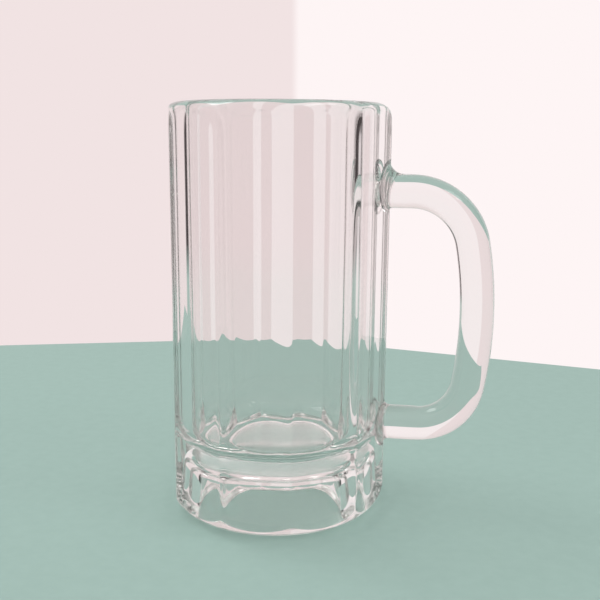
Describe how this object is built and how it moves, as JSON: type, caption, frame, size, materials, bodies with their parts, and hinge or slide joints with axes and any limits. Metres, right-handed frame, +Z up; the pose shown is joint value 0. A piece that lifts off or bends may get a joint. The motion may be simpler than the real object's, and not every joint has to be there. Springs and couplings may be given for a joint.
{
  "type": "beer mug",
  "caption": "Clear pressed-glass beer mug with flat-paneled sides, a round drinking cavity, a rounded rim, a hollow ring foot and a D-shaped side handle.",
  "frame": {"origin": "centre of the foot ring, on the resting plane and on the mug's axis", "axes": "+Z up along the mug's axis towards the rim, +X from the axis towards the handle, +Y to the left when looking along +X"},
  "size_m": [0.1194, 0.0786, 0.148],
  "materials": {
    "clear_glass": "clear, fire-polished pressed glass"
  },
  "bodies": {
    "root": {"mug_body": "clear_glass", "handle": "clear_glass"}
  },
  "joints": []
}
